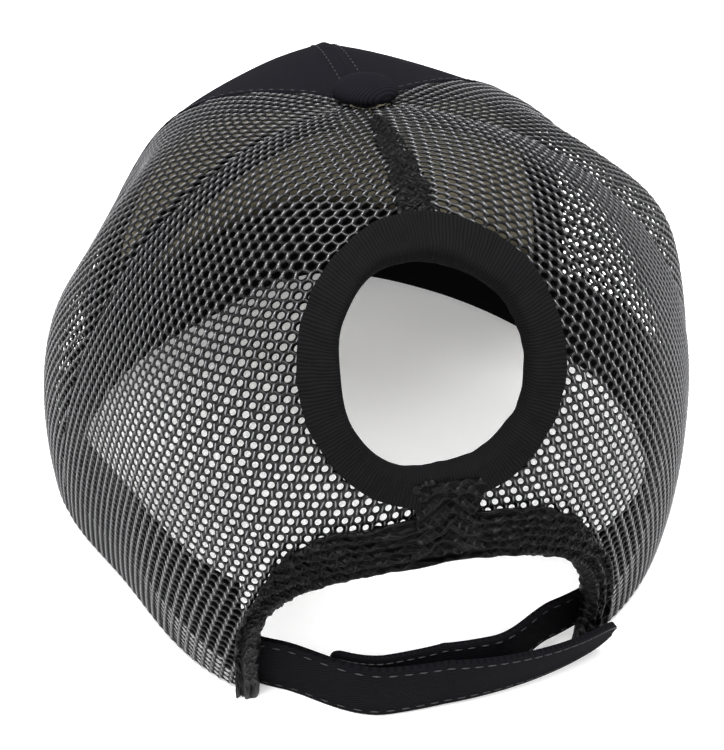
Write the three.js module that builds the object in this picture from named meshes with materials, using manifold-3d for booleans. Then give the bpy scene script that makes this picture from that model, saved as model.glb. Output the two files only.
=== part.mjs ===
// Ponytail baseball cap: two twill front panels, four net panels, a peak, a bound ponytail hole high
// on the back, and a strap across the arch below it. Millimetres, +Z up, +X the wearer's left,
// +Y the back. The rim stands on z = 0, and the crown's upright axis is x = y = 0.
import * as THREE from 'three';
import { mergeVertices } from 'three/addons/utils/BufferGeometryUtils.js';
import Module from 'manifold-3d';

// Crown sizes
const crownWidth = 176;
const crownBackReach = 97;
const crownFrontReach = 97.5;
const crownHeight = 110;
const apexBack = 6.4;
const apexLeft = 0.8;
const frontRimRise = 8;
const frontStand = 5;
const sideSeamAtRim = 80;
const topRingRadius = 5;

// Cloth thicknesses and the gap that separate pieces keep
const netWall = 1.6;
const frontWall = 2.6;
const tapeWall = 1;
const bindingWall = 1;
const strapWall = 1.2;
const sweatbandWall = 1.5;
const peakWall = 2.6;
const gap = 0.4;
const clothGap = 0.7;
const bindingDepth = clothGap + bindingWall;

// Trim sizes
const sweatbandHeight = 31;
const tapeWidth = 11;
const backSeamWidth = 9;
const tapeTopRadius = 13;
const holeWidth = 41;
const holeHeight = 45.5;
const holeCentreShare = 0.506;
const holeAzimuth = 1.4;
const holeBindingWidth = 6;
const archWidth = 79;
const archHeight = 41;
const archLeft = 3;
const archSquareness = 0.55;
const archBindingWidth = 11;
const archFootBindingWidth = 4;
const tabWidth = 13.5;
const strapHeight = 17;
const strapTipHeight = 12.5;
const strapTipLift = 2;
const strapTipRadius = 5.5;
const strapLean = 3;
const strapOverlap = 4;
const innerStrapLift = 3;
const innerTipRadius = 3;
const innerStrapEnd = 17;
const sewnIn = 6;
const peakWidth = 176;
const peakLength = 70;
const peakArch = 9;
const peakRootAzimuth = 58;
const peakRootShare = 0.64;
const peakRoundness = 0.8;
const peakEndShare = 0.12;
const peakEndRounding = 0.2;
const buttonDiameter = 16;
const buttonHeight = 5;
const buttonEdge = 1;
const buttonFootShare = 0.9;
const buttonShankDiameter = 6.4;

// Net gaps in each panel, cut through the wall
const backColumns = 15;
const sideColumns = 11;
const netRows = 19;
const netGapMargin = 9;
const netGapTopShare = 0.86;

// Steps round the bindings and along the other pieces
const holeSteps = 36;
const archSteps = 28;
const frontColumns = 9;
const strapColumns = 26;
const peakColumns = 20;
const sweatbandColumns = 42;

// The tools that cut the openings reach this far out of the wall, into it and below the rim
const cutOutside = 8;
const cutInside = 12;
const cutBelow = 5;

// How the crown's wall curves inwards and rises, as powers of a quarter turn's cosine and sine
const profiles = {
  back: { inward: 0.42, rise: 0.95 },
  side: { inward: 0.77, rise: 0.94 },
  front: { inward: 0.56, rise: 0.79 },
};

// Plan and bulge round the crown, from the centre back by way of the wearer's left.
// reach is a share of the ellipse, belly a share added at mid height.
const stations = [
  { azimuth: 0, reach: 0.985, belly: -0.05 },
  { azimuth: 30, reach: 1.02, belly: 0 },
  { azimuth: 60, reach: 0.935, belly: 0.035 },
  { azimuth: 90, reach: 1.02, belly: 0.015 },
  { azimuth: 120, reach: 1.01, belly: -0.015 },
  { azimuth: 150, reach: 0.95, belly: 0.03 },
  { azimuth: 180, reach: 1.035, belly: 0 },
  { azimuth: 210, reach: 1, belly: -0.02 },
  { azimuth: 240, reach: 1.01, belly: 0.005 },
  { azimuth: 270, reach: 1.055, belly: 0.06 },
  { azimuth: 300, reach: 1.005, belly: 0.015 },
  { azimuth: 330, reach: 1, belly: 0.01 },
];

// Panels from the centre back to the centre front, the same on both sides.
// fullness is how far the panel's middle stands out from its seams, as a share of panelFullness.
const panelFullness = 2.4;
const panels = [
  { name: 'back', seamAtRim: 0, seamAtTop: 0, fullness: 1 },
  { name: 'side', seamAtRim: sideSeamAtRim, seamAtTop: 60, fullness: 0.33 },
  { name: 'front', seamAtRim: 120, seamAtTop: 120, fullness: -1.08 },
];

const radians = THREE.MathUtils.degToRad;
const mix = THREE.MathUtils.lerp;
const pillow = (share) => 4 * share * (1 - share);

// The crown's surface

function stationValue(azimuth, column) {
  const count = stations.length;
  const place = ((((azimuth % 360) + 360) % 360) / 360) * count;
  const row = Math.floor(place);
  const t = place - row;
  const [a, b, c, d] = [-1, 0, 1, 2].map((k) => stations[(row + k + count) % count][column]);
  return b + 0.5 * t * (c - a + t * (2 * a - 5 * b + 4 * c - d + t * (3 * b - a - 3 * c + d)));
}

function powersAt(azimuth) {
  const lean = Math.cos(radians(azimuth));
  const end = lean > 0 ? profiles.back : profiles.front;
  const weight = lean * lean;
  return {
    inward: mix(profiles.side.inward, end.inward, weight),
    rise: mix(profiles.side.rise, end.rise, weight),
  };
}

function rimHeight(azimuth) {
  return frontRimRise * Math.max(0, -Math.cos(radians(azimuth))) ** 2;
}

// A smooth shell without seams; turn is the share of a quarter turn from the rim to the apex
function shellPoint(azimuth, turn) {
  const angle = radians(azimuth);
  const { inward, rise } = powersAt(azimuth);
  const lift = radians(turn * 90);
  const inwards = Math.cos(lift) ** inward;
  const upwards = Math.sin(lift) ** rise;
  const middle = Math.sin(2 * lift);
  const reach = stationValue(azimuth, 'reach') * (1 + middle * stationValue(azimuth, 'belly'));
  const depth = Math.cos(angle) > 0 ? crownBackReach : crownFrontReach;
  const rim = rimHeight(azimuth);
  const stand = frontStand * Math.max(0, -Math.cos(angle)) ** 2 * middle ** 2;
  return new THREE.Vector3(
    (crownWidth / 2) * reach * Math.sin(angle) * inwards + apexLeft * upwards,
    depth * reach * Math.cos(angle) * inwards + apexBack * upwards,
    rim + (crownHeight - rim) * upwards + stand,
  );
}

function shellNormal(azimuth, turn) {
  const here = THREE.MathUtils.clamp(turn, 0.004, 0.985);
  const across = shellPoint(azimuth + 0.05, here).sub(shellPoint(azimuth - 0.05, here));
  const upwards = shellPoint(azimuth, here + 0.001).sub(shellPoint(azimuth, here - 0.001));
  const normal = upwards.cross(across).normalize();
  const levelBelow = 0.02;
  return normal.setZ(normal.z * THREE.MathUtils.smoothstep(turn, 0, levelBelow)).normalize();
}

// Turns at even steps of the way along the wall from the rim to the top ring
const wayCache = new Map();
function wayUp(azimuth) {
  const key = azimuth.toFixed(4);
  if (!wayCache.has(key)) {
    const { inward } = powersAt(azimuth);
    const last = Math.acos((topRingRadius / (crownWidth / 2)) ** (1 / inward)) / (Math.PI / 2);
    const steps = 80;
    const turns = [];
    const lengths = [];
    let length = 0;
    let before = null;
    for (let i = 0; i <= steps; i += 1) {
      const turn = last * (1 - (1 - i / steps) ** 3);
      const point = shellPoint(azimuth, turn);
      if (before) length += point.distanceTo(before);
      before = point;
      turns.push(turn);
      lengths.push(length);
    }
    wayCache.set(key, { turns, lengths, length });
  }
  return wayCache.get(key);
}

function turnAt(azimuth, share) {
  const { turns, lengths, length } = wayUp(azimuth);
  const target = THREE.MathUtils.clamp(share, 0, 1) * length;
  let i = 1;
  while (i < lengths.length - 1 && lengths[i] < target) i += 1;
  const part = (target - lengths[i - 1]) / (lengths[i] - lengths[i - 1]);
  return mix(turns[i - 1], turns[i], part);
}

function shareAtHeight(azimuth, height) {
  const { rise } = powersAt(azimuth);
  const rim = rimHeight(azimuth);
  const upwards = THREE.MathUtils.clamp((height - rim) / (crownHeight - rim), 0, 1);
  const turn = Math.asin(upwards ** (1 / rise)) / (Math.PI / 2);
  const { turns, lengths, length } = wayUp(azimuth);
  let i = 1;
  while (i < turns.length - 1 && turns[i] < turn) i += 1;
  const part = (turn - turns[i - 1]) / (turns[i] - turns[i - 1]);
  return mix(lengths[i - 1], lengths[i], part) / length;
}

function seamAzimuth(index, share) {
  if (index === panels.length) return 180;
  return mix(panels[index].seamAtRim, panels[index].seamAtTop, share);
}

function fullnessAt(azimuth, share) {
  const turned = (((azimuth + 180) % 360) + 360) % 360 - 180;
  const away = Math.abs(turned);
  let index = 0;
  while (index < panels.length - 1 && away >= seamAzimuth(index + 1, share)) index += 1;
  const first = seamAzimuth(index, share);
  const across = (away - first) / (seamAzimuth(index + 1, share) - first);
  const clipped = THREE.MathUtils.clamp(across, 0, 1);
  const bulge = pillow(clipped) ** 0.6 * Math.sqrt(pillow(share));
  return panelFullness * panels[index].fullness * bulge;
}

// A point of the crown: azimuth in degrees, share of the way up, depth into the wall
function crownPoint(azimuth, share, depth) {
  const turn = turnAt(azimuth, share);
  const out = fullnessAt(azimuth, THREE.MathUtils.clamp(share, 0, 1)) - depth;
  return shellPoint(azimuth, turn).addScaledVector(shellNormal(azimuth, turn), out);
}

// Degrees of azimuth that make one millimetre across the wall
function degreesPerMillimetre(azimuth, share) {
  return 2 / crownPoint(azimuth + 1, share, 0).distanceTo(crownPoint(azimuth - 1, share, 0));
}

function shareAtRadius(azimuth, radius) {
  const { turns, lengths, length } = wayUp(azimuth);
  const { inward } = powersAt(azimuth);
  const turn = Math.acos((radius / (crownWidth / 2)) ** (1 / inward)) / (Math.PI / 2);
  let i = 1;
  while (i < turns.length - 1 && turns[i] < turn) i += 1;
  const part = (turn - turns[i - 1]) / (turns[i] - turns[i - 1]);
  return mix(lengths[i - 1], lengths[i], part) / length;
}

// Closed solids

// A sheet with two faces, side 0 outside and side 1 inside, from a grid of places.
// Cells named by isOpen are cut through, and closed joins the last column to the first.
function sheetSolid({ columns, rows, place, closed = false, isOpen = () => false }) {
  const positions = [];
  const indices = [];
  const across = closed ? columns : columns + 1;
  const corner = (i, j, side) => (side * (rows + 1) + j) * across + (i % across);
  for (const side of [0, 1]) {
    for (let j = 0; j <= rows; j += 1) {
      for (let i = 0; i < across; i += 1) {
        const point = place(i / columns, j / rows, side);
        positions.push(point.x, point.y, point.z);
      }
    }
  }
  const quad = (a, b, c, d) => indices.push(a, b, c, a, c, d);
  const filled = (i, j) => {
    if (j < 0 || j >= rows) return false;
    if (!closed && (i < 0 || i >= columns)) return false;
    return !isOpen((i + columns) % columns, j);
  };
  for (let j = 0; j < rows; j += 1) {
    for (let i = 0; i < columns; i += 1) {
      if (!filled(i, j)) continue;
      const outside = [corner(i, j, 0), corner(i + 1, j, 0), corner(i + 1, j + 1, 0), corner(i, j + 1, 0)];
      const inside = [corner(i, j, 1), corner(i + 1, j, 1), corner(i + 1, j + 1, 1), corner(i, j + 1, 1)];
      quad(...outside);
      quad(inside[3], inside[2], inside[1], inside[0]);
      const neighbours = [filled(i, j - 1), filled(i + 1, j), filled(i, j + 1), filled(i - 1, j)];
      neighbours.forEach((isFilled, k) => {
        const next = (k + 1) % 4;
        if (!isFilled) quad(outside[next], outside[k], inside[k], inside[next]);
      });
    }
  }
  return outwardGeometry(positions, indices);
}

function outwardGeometry(positions, indices) {
  let volume = 0;
  const at = (k) => new THREE.Vector3().fromArray(positions, 3 * k);
  for (let k = 0; k < indices.length; k += 3) {
    volume += at(indices[k]).dot(at(indices[k + 1]).cross(at(indices[k + 2])));
  }
  if (volume < 0) indices.reverse();
  const geometry = new THREE.BufferGeometry();
  geometry.setAttribute('position', new THREE.Float32BufferAttribute(positions, 3));
  geometry.setIndex(indices);
  return geometry;
}

const wasm = await Module();
wasm.setup();

function toManifold(geometry) {
  const bare = geometry.clone();
  bare.deleteAttribute('normal');
  bare.deleteAttribute('uv');
  const merged = mergeVertices(bare, 1e-5);
  return new wasm.Manifold(new wasm.Mesh({
    numProp: 3,
    vertProperties: new Float32Array(merged.attributes.position.array),
    triVerts: new Uint32Array(merged.index.array),
  }));
}

function fromManifold(solid) {
  const mesh = solid.getMesh();
  const geometry = new THREE.BufferGeometry();
  geometry.setAttribute('position', new THREE.BufferAttribute(mesh.vertProperties, 3));
  geometry.setIndex(new THREE.BufferAttribute(mesh.triVerts, 1));
  return geometry;
}

// The two openings of the back

// Each opening is an outline in a plane, seen along its own axis, with the plane's two directions
function makeOpening(centre, right, up, outline) {
  const axis = new THREE.Vector3().crossVectors(right, up).normalize();
  return { centre, right, up, axis, outline };
}

const holeCentre = crownPoint(holeAzimuth, holeCentreShare, 0);
const holeNormal = shellNormal(holeAzimuth, turnAt(holeAzimuth, holeCentreShare));
const holeRight = new THREE.Vector3(0, 0, 1).cross(holeNormal).normalize();
const hole = makeOpening(
  holeCentre,
  holeRight,
  holeNormal.clone().cross(holeRight),
  (way, outset) => {
    const angle = way * 2 * Math.PI;
    return [
      (holeWidth / 2 + outset) * Math.cos(angle),
      (holeHeight / 2 + outset) * Math.sin(angle),
    ];
  },
);

// The arch is a flat-topped half oval; way runs from one foot, 0, over the top to the other, 1
const arch = makeOpening(
  new THREE.Vector3(archLeft, 0, 0),
  new THREE.Vector3(-1, 0, 0),
  new THREE.Vector3(0, 0, 1),
  (way, outset) => {
    const angle = way * Math.PI;
    const side = Math.sign(Math.cos(angle)) * Math.abs(Math.cos(angle)) ** archSquareness;
    return [
      (archWidth / 2 + outset) * side,
      (archHeight + outset) * Math.sin(angle) ** archSquareness,
    ];
  },
);

// The azimuth and share where the crown shows at a place in an opening's plane
function crownBehind(opening, target, guess) {
  let [azimuth, share] = guess;
  const miss = (a, s) => {
    const offset = crownPoint(a, s, 0).sub(opening.centre);
    return [offset.dot(opening.right) - target[0], offset.dot(opening.up) - target[1]];
  };
  for (let step = 0; step < 14; step += 1) {
    const [mx, my] = miss(azimuth, share);
    const [ax, ay] = miss(azimuth + 0.2, share).map((value, k) => (value - [mx, my][k]) / 0.2);
    const nudge = share > 0.5 ? -0.004 : 0.004;
    const [sx, sy] = miss(azimuth, share + nudge).map((value, k) => (value - [mx, my][k]) / nudge);
    const scale = ax * sy - ay * sx;
    azimuth -= THREE.MathUtils.clamp((mx * sy - my * sx) / scale, -8, 8);
    share -= THREE.MathUtils.clamp((ax * my - ay * mx) / scale, -0.1, 0.1);
    share = THREE.MathUtils.clamp(share, 0, 0.99);
  }
  return [azimuth, share];
}

const holeGuess = [holeAzimuth, holeCentreShare];
const archGuess = [0, 0.2];

function behindOpening(opening, way, outset) {
  const guess = opening === hole ? holeGuess : archGuess;
  return crownBehind(opening, opening.outline(way, outset), guess);
}

// A plug through the wall with sides square to it. Each place is an azimuth, a share of the way up
// and a drop below it; the first is the middle of both ends, and the rest go round the opening.
function plugSolid(places) {
  const round = places.length - 1;
  const positions = [];
  const indices = [];
  for (const depth of [-cutOutside, cutInside]) {
    for (const [azimuth, share, drop] of places) {
      const point = crownPoint(azimuth, share, depth);
      positions.push(point.x, point.y, point.z - drop);
    }
  }
  const inner = places.length;
  for (let k = 0; k < round; k += 1) {
    const here = 1 + k;
    const next = 1 + ((k + 1) % round);
    indices.push(here, next, inner + next, here, inner + next, inner + here);
    indices.push(0, next, here, inner, inner + here, inner + next);
  }
  return outwardGeometry(positions, indices);
}

function holePlug() {
  const round = Array.from({ length: holeSteps }, (_, k) => behindOpening(hole, k / holeSteps, 0));
  return plugSolid([holeGuess, ...round].map((place) => [...place, 0]));
}

function archPlug() {
  const round = Array.from({ length: archSteps + 1 }, (_, k) => behindOpening(arch, k / archSteps, 0));
  const middle = [0, shareAtHeight(0, archHeight / 2)];
  const [leftFoot, rightFoot] = [round[archSteps][0], round[0][0]];
  const floorSteps = 8;
  const floor = Array.from({ length: floorSteps + 1 }, (_, k) => [
    mix(leftFoot, rightFoot, k / floorSteps), 0, cutBelow,
  ]);
  return plugSolid([...[middle, ...round].map((place) => [...place, 0]), ...floor]);
}

// Panels

function panelPlace(index, side, wall) {
  return (u, v, face) => {
    const seams = [0, 1].map((k) => seamAzimuth(index + k, v));
    const inset = (gap / 2) * degreesPerMillimetre(side * mix(...seams, u), v);
    const azimuth = mix(seams[0] + inset, seams[1] - inset, u);
    return crownPoint(side * azimuth, v, face * wall);
  };
}

function frontPanel(side) {
  return sheetSolid({ columns: frontColumns, rows: netRows, place: panelPlace(2, side, frontWall) });
}

// Every other row has gaps, a stagger apart from those of the rows beside it
function netGap(index, side, columns) {
  return (i, j) => {
    const stagger = j % 4 === 1 ? 1 : 3;
    const inPattern = j % 2 === 1 && i % 4 === stagger;
    if (!inPattern || j > netGapTopShare * netRows) return false;
    if (index > 0) return true;
    const share = (j + 0.5) / netRows;
    const azimuth = side * mix(seamAzimuth(0, share), seamAzimuth(1, share), (i + 0.5) / columns);
    const point = crownPoint(azimuth, share, 0);
    const offset = point.clone().sub(hole.centre);
    const across = offset.dot(hole.right) / (holeWidth / 2 + netGapMargin);
    const upwards = offset.dot(hole.up) / (holeHeight / 2 + netGapMargin);
    const offHole = across ** 2 + upwards ** 2 > 1;
    const beside = Math.abs(point.x - archLeft) > archWidth / 2 + netGapMargin;
    const offArch = beside || point.z > archHeight + netGapMargin;
    return offHole && offArch;
  };
}

function netPanel(index, side) {
  const columns = index === 0 ? backColumns : sideColumns;
  return sheetSolid({
    columns,
    rows: netRows,
    place: panelPlace(index, side, netWall),
    isOpen: netGap(index, side, columns),
  });
}

function backPanel(side) {
  const whole = toManifold(netPanel(0, side));
  return fromManifold(whole.subtract(toManifold(holePlug())).subtract(toManifold(archPlug())));
}

// Bindings: cloth folded over an edge of the net, with a leg on each side of it

const foldSection = [
  { across: 1, around: -1 },
  { across: 0.5, around: -1 },
  { across: 0, around: -1 },
  { across: 0, around: 0 },
  { across: 0, around: 1 },
  { across: 0.5, around: 1 },
  { across: 1, around: 1 },
];

function binding(opening, widthAt, columns, closed) {
  const middle = netWall / 2;
  return sheetSolid({
    columns,
    rows: foldSection.length - 1,
    closed,
    place: (u, v, face) => {
      const { across, around } = foldSection[Math.round(v * (foldSection.length - 1))];
      const skin = clothGap + (face === 0 ? bindingWall : 0);
      const outset = across * widthAt(u) - (around === 0 ? skin : 0);
      const [azimuth, share] = behindOpening(opening, u, outset);
      return crownPoint(azimuth, share, middle + around * (middle + skin));
    },
  });
}

function holeBinding() {
  return binding(hole, () => holeBindingWidth, holeSteps, true);
}

// The arch's binding narrows from the top towards its feet
function archBinding() {
  const widthAt = (way) => mix(archFootBindingWidth, archBindingWidth, Math.sin(way * Math.PI));
  return binding(arch, widthAt, archSteps, false);
}

// Tapes and seam strips

function strip({ rows, azimuthAt, widthAt, shareAt, depth, wall }) {
  return sheetSolid({
    columns: 2,
    rows,
    place: (u, v, face) => {
      const share = shareAt(v);
      const centre = azimuthAt(share);
      const aside = (u - 0.5) * widthAt(v) * degreesPerMillimetre(centre, share);
      return crownPoint(centre + aside, share, depth + face * wall);
    },
  });
}

// Tapes keep to the panels' own rows, so that both bend at the same places
function seamTape(index, side, panelWall) {
  const top = shareAtRadius(side * seamAzimuth(index, 1), tapeTopRadius);
  const rows = Math.floor(top * netRows);
  return strip({
    rows,
    azimuthAt: (share) => side * seamAzimuth(index, share),
    widthAt: () => tapeWidth,
    shareAt: (v) => (v * rows) / netRows,
    depth: panelWall + clothGap,
    wall: tapeWall,
  });
}

function backSeamStrip() {
  const bottom = behindOpening(hole, 0.25, holeBindingWidth + gap)[1];
  const first = Math.ceil(bottom * netRows);
  const last = Math.floor(shareAtRadius(0, tapeTopRadius) * netRows);
  const rows = last - first + 1;
  return strip({
    rows,
    azimuthAt: () => 0,
    widthAt: (v) => mix(backSeamWidth, backSeamWidth / 2, v),
    shareAt: (v) => (v === 0 ? bottom : (first - 1 + v * rows) / netRows),
    depth: netWall + clothGap,
    wall: tapeWall,
  });
}

function backSeamTab() {
  const top = behindOpening(hole, 0.75, 1)[1];
  const bottom = behindOpening(arch, 0.5, archBindingWidth / 4)[1];
  return strip({
    rows: 5,
    azimuthAt: () => 0,
    widthAt: () => tabWidth,
    shareAt: (v) => mix(bottom, top, v),
    depth: -(bindingDepth + clothGap + tapeWall),
    wall: tapeWall,
  });
}

// Sweatband, from one foot of the arch round the front to the other

const archFoot = behindOpening(arch, 1, 0)[0];
const archFootRight = -behindOpening(arch, 0, 0)[0];
const bandClear = 3;
const strapInside = netWall + bindingDepth + gap;
const strapOutside = -(bindingDepth + gap + strapWall);
const sweatbandDepth = Math.max(frontWall + clothGap + tapeWall, strapInside + strapWall) + gap;

function sweatband() {
  const start = archFoot + bandClear;
  const end = 360 - archFootRight - bandClear;
  return sheetSolid({
    columns: sweatbandColumns,
    rows: 3,
    place: (u, v, face) => {
      const azimuth = mix(start, end, u);
      const share = shareAtHeight(azimuth, rimHeight(azimuth) + v * sweatbandHeight);
      return crownPoint(azimuth, share, sweatbandDepth + face * sweatbandWall);
    },
  });
}

// Straps: the outer one from the wearer's left passes out through the arch and laps the right
// foot. Both grow narrower and lift a little from the left foot of the arch to the right one.

function acrossArch(azimuth) {
  return THREE.MathUtils.smoothstep(-azimuth, -archFoot, archFootRight);
}

function strap({ from, to, depthAt, liftAt, lean, tipRadius }) {
  return sheetSolid({
    columns: strapColumns,
    rows: 2,
    place: (u, v, face) => {
      const eased = Math.sin((u * Math.PI) / 2);
      const azimuth = mix(from, to, eased);
      const left = Math.abs(azimuth - to) / degreesPerMillimetre(azimuth, 0);
      const near = Math.min(left, tipRadius);
      const height = mix(strapHeight, strapTipHeight, acrossArch(azimuth));
      const half = height / 2 - tipRadius + Math.sqrt(tipRadius ** 2 - (tipRadius - near) ** 2);
      const level = liftAt(azimuth) + height / 2 + (v - 0.5) * 2 * half;
      const depth = depthAt(azimuth) - lean * acrossArch(azimuth) * v + face * strapWall;
      return crownPoint(azimuth, shareAtHeight(azimuth, level), depth).setZ(level);
    },
  });
}

function outerStrapDepth(azimuth) {
  const inside = THREE.MathUtils.smoothstep(azimuth, archFoot * 0.3, archFoot * 0.88);
  return mix(strapOutside, strapInside, inside);
}

function outerStrap() {
  return strap({
    from: archFoot + sewnIn,
    to: -archFootRight - strapOverlap * degreesPerMillimetre(-archFootRight, 0),
    liftAt: (azimuth) => strapTipLift * acrossArch(azimuth),
    tipRadius: strapTipRadius,
    lean: strapLean,
    depthAt: outerStrapDepth,
  });
}

// The inner strap lies against the outer one and goes in at the right foot
function innerStrap() {
  return strap({
    from: -archFootRight - sewnIn,
    to: innerStrapEnd,
    liftAt: (azimuth) => (strapTipLift + innerStrapLift) * acrossArch(azimuth),
    tipRadius: innerTipRadius,
    lean: 0,
    depthAt: (azimuth) => {
      const inside = THREE.MathUtils.smoothstep(-azimuth, archFootRight * 0.3, archFootRight * 0.8);
      const lapped = outerStrapDepth(azimuth) + strapWall + clothGap;
      return mix(lapped, strapInside, inside);
    },
  });
}

// Peak: a stiff, slightly arched plate sewn to the front of the rim

function peak() {
  const rootY = -peakRootShare * crownFrontReach;
  const frontY = crownPoint(180, 0, 0).y - peakLength;
  return sheetSolid({
    columns: peakColumns,
    rows: 6,
    place: (u, v, face) => {
      const azimuth = mix(180 - peakRootAzimuth, 180 + peakRootAzimuth, u);
      const inner = crownPoint(azimuth, 0, -clothGap);
      const sweep = radians(mix(90, -90, u));
      const outer = new THREE.Vector3(
        (peakWidth / 2) * Math.sin(sweep),
        mix(rootY, frontY, Math.cos(sweep) ** peakRoundness),
        0,
      );
      outer.z = peakArch * (1 - ((2 * outer.x) / peakWidth) ** 2);
      const fromEnd = Math.min(1, (1 - Math.abs(2 * u - 1)) / peakEndRounding);
      const reach = mix(peakEndShare, 1, Math.sin((fromEnd * Math.PI) / 2));
      return inner.lerp(outer, v * reach).add(new THREE.Vector3(0, 0, (1 - face) * peakWall));
    },
  });
}

// Button: a cloth-covered dome with a short shank in the hole where the panels meet

function button() {
  const dome = [];
  const steps = 6;
  for (let k = 0; k <= steps; k += 1) {
    const angle = (k / steps) * (Math.PI / 2);
    const radius = (buttonDiameter / 2) * Math.cos(angle);
    dome.push([k === steps ? 0 : radius, buttonEdge + (buttonHeight - buttonEdge) * Math.sin(angle)]);
  }
  const profile = [
    [0, -frontWall],
    [buttonShankDiameter / 2, -frontWall],
    [buttonShankDiameter / 2, 0],
    [(buttonDiameter / 2) * buttonFootShare, 0],
    ...dome,
  ];
  const lathe = new THREE.LatheGeometry(profile.map(([x, y]) => new THREE.Vector2(x, y)), 20);
  return mergedLathe(lathe).rotateX(Math.PI / 2);
}

function mergedLathe(lathe) {
  lathe.deleteAttribute('normal');
  lathe.deleteAttribute('uv');
  const merged = mergeVertices(lathe, 1e-4);
  const kept = [];
  const { array } = merged.index;
  for (let k = 0; k < array.length; k += 3) {
    const [a, b, c] = [array[k], array[k + 1], array[k + 2]];
    if (a !== b && b !== c && c !== a) kept.push(a, b, c);
  }
  return outwardGeometry(Array.from(merged.attributes.position.array), kept);
}

// Materials

const cloths = {
  twill: new THREE.MeshStandardMaterial({ color: 0x3d3b43, roughness: 0.9, metalness: 0 }),
  net: new THREE.MeshStandardMaterial({ color: 0x2a292c, roughness: 0.7, metalness: 0 }),
  binding: new THREE.MeshStandardMaterial({ color: 0x323137, roughness: 0.85, metalness: 0 }),
  tape: new THREE.MeshStandardMaterial({ color: 0x1b1a1d, roughness: 0.9, metalness: 0 }),
};

// Assembly

const cap = new THREE.Group();

function addPiece(name, geometry, cloth) {
  const mesh = new THREE.Mesh(geometry, cloths[cloth].clone());
  mesh.name = name;
  cap.add(mesh);
  return mesh;
}

for (const [word, side] of [['left', 1], ['right', -1]]) {
  addPiece(`front_panel_${word}`, frontPanel(side), 'twill');
  addPiece(`side_mesh_${word}`, netPanel(1, side), 'net');
  addPiece(`back_mesh_${word}`, backPanel(side), 'net');
  addPiece(`front_seam_tape_${word}`, seamTape(2, side, frontWall), 'tape');
  addPiece(`side_seam_tape_${word}`, seamTape(1, side, netWall), 'tape');
}
addPiece('back_seam_strip', backSeamStrip(), 'net');
addPiece('back_seam_tab', backSeamTab(), 'net');
addPiece('hole_binding', holeBinding(), 'binding');
addPiece('arch_binding', archBinding(), 'net');
addPiece('sweatband', sweatband(), 'tape');
addPiece('strap_outer', outerStrap(), 'twill');
addPiece('strap_inner', innerStrap(), 'twill');
addPiece('peak', peak(), 'twill');
const topButton = addPiece('button', button(), 'twill');
topButton.position.set(apexLeft, apexBack, crownHeight + 2 * gap);

// The origin is on the surface that the cap rests on, under the middle of its outer box
const outerBox = new THREE.Box3().setFromObject(cap);
const middle = outerBox.getCenter(new THREE.Vector3());
cap.position.set(-middle.x, -middle.y, -outerBox.min.z);

export default cap;
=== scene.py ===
"""Looks of a black ponytail cap: knitted net, twill front and peak, bound hole and back strap.

Sizes are millimetres in the crown's own frame: the crown's upright axis is x = y = 0, the rim
stands on z = 0, +X is the wearer's left and +Y the back. Azimuths are degrees from the centre
back by way of the wearer's left. in_row() turns such points to metres in the row frame.
"""

import math

import bmesh
import bpy
import numpy as np
from mathutils import Matrix, Vector


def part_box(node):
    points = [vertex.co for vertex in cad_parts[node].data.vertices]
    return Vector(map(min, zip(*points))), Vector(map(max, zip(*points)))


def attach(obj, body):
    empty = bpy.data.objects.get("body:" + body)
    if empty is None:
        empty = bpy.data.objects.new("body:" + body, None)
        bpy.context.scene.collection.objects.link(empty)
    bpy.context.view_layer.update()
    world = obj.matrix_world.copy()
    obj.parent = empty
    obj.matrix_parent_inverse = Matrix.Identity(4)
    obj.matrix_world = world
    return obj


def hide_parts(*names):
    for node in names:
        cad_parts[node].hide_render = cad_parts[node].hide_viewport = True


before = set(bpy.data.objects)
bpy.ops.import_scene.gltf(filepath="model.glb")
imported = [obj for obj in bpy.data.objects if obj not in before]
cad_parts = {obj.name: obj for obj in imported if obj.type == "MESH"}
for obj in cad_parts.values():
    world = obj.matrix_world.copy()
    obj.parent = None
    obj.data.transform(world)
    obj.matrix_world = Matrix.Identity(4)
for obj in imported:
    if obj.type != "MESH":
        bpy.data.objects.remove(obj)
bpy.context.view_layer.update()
random = np.random.default_rng(7)

MM = 0.001
MERGE_WITHIN = 0.01

# Crown sizes, as in the part's source
CROWN_WIDTH = 176
CROWN_BACK_REACH = 97
CROWN_FRONT_REACH = 97.5
CROWN_HEIGHT = 110
APEX_BACK = 6.4
APEX_LEFT = 0.8
FRONT_RIM_RISE = 8
FRONT_STAND = 5
TOP_RING_RADIUS = 5

# How the wall curves inwards and rises, as powers of a quarter turn's cosine and sine
PROFILES = {"back": (0.42, 0.95), "side": (0.77, 0.94), "front": (0.56, 0.79)}

# Reach and belly at every 30 degrees of azimuth
STATIONS = np.array([
    (0.985, -0.05), (1.02, 0), (0.935, 0.035), (1.02, 0.015), (1.01, -0.015), (0.95, 0.03),
    (1.035, 0), (1, -0.02), (1.01, 0.005), (1.055, 0.06), (1.005, 0.015), (1, 0.01),
])

# Panels from the centre back to the centre front: azimuth of the first seam at the rim and at
# the top, and how far the middle stands out from the seams
BACK, SIDE, FRONT = 0, 1, 2
PANEL_FULLNESS = 2.4
PANELS = [(0, 0, 1), (80, 60, 0.33), (120, 120, -1.08), (180, 180, 0)]

# Openings
HOLE_WIDTH = 41
HOLE_HEIGHT = 45.5
HOLE_CENTRE_SHARE = 0.506
HOLE_AZIMUTH = 1.4
HOLE_BINDING_WIDTH = 6
HOLE_BAND_WIDTH = 17
HOLE_RIPPLE = 0.3

# How the slack inner edge of the hole strays outwards, from the wearer's right and over the top
HOLE_EDGE = np.array([0.4, 0.2, -0.6, -0.2, 0.9, 0.4, -0.6, 0.1, 0.5, -0.3, 0.3, 0.6])

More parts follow.
